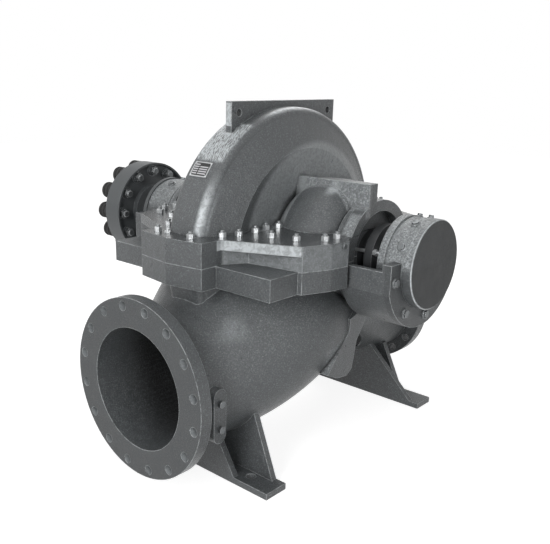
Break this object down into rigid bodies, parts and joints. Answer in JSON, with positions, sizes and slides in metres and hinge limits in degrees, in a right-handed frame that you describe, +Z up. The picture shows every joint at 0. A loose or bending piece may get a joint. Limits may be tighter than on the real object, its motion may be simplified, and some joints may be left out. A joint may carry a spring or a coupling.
{
  "type": "split case pump",
  "caption": "Horizontal split case pump with side suction and discharge flanges, feet, bearing brackets and half a pin coupling on its drive shaft.",
  "frame": {"origin": "on the floor at the centre of the four foundation bolt holes, under the shaft and the middle of the volute", "axes": "+X along the shaft towards the free end, +Y towards the discharge flange, +Z up"},
  "size_m": [1.239, 1.145, 0.994],
  "materials": {
    "bush_rubber": "black rubber",
    "casing_paint": "semi-gloss grey paint over rough casting",
    "coupling_paint": "semi-gloss grey paint over turned iron",
    "fastener_steel": "plated steel fasteners",
    "gland_iron": "dark painted iron",
    "plate_metal": "bare plate",
    "turned_steel": "turned steel"
  },
  "bodies": {
    "casing": {"bearing_cover_drive_end": "casing_paint", "bearing_housing_drive_end": "casing_paint", "bearing_housing_free_end": "casing_paint", "casing_plugs": "casing_paint", "cradle_bolts_drive_end": "casing_paint", "cradle_bolts_free_end": "casing_paint", "end_cap_free_end": "casing_paint", "gland_drive_end": "gland_iron", "gland_free_end": "gland_iron", "gland_studs_drive_end": "fastener_steel", "gland_studs_free_end": "fastener_steel", "housing_plugs_drive_end": "casing_paint", "housing_plugs_free_end": "casing_paint", "inner_cover_drive_end": "casing_paint", "inner_cover_free_end": "casing_paint", "jacking_screws": "fastener_steel", "lower_casing": "casing_paint", "nameplate": "plate_metal", "nozzle_plugs": "casing_paint", "parting_nuts": "fastener_steel", "parting_studs": "fastener_steel", "upper_casing": "casing_paint"},
    "rotor": {"coupling_bushes": "bush_rubber", "coupling_half": "coupling_paint", "coupling_nuts": "fastener_steel", "coupling_pins": "fastener_steel", "shaft": "turned_steel", "shaft_sleeve_drive_end": "turned_steel", "shaft_sleeve_free_end": "turned_steel"}
  },
  "joints": [
    {"name": "shaft_rotation", "type": "hinge", "parent": "casing", "child": "rotor", "pos_m": [0, 0, 0.595], "axis": [1, 0, 0], "continuous": true}
  ]
}
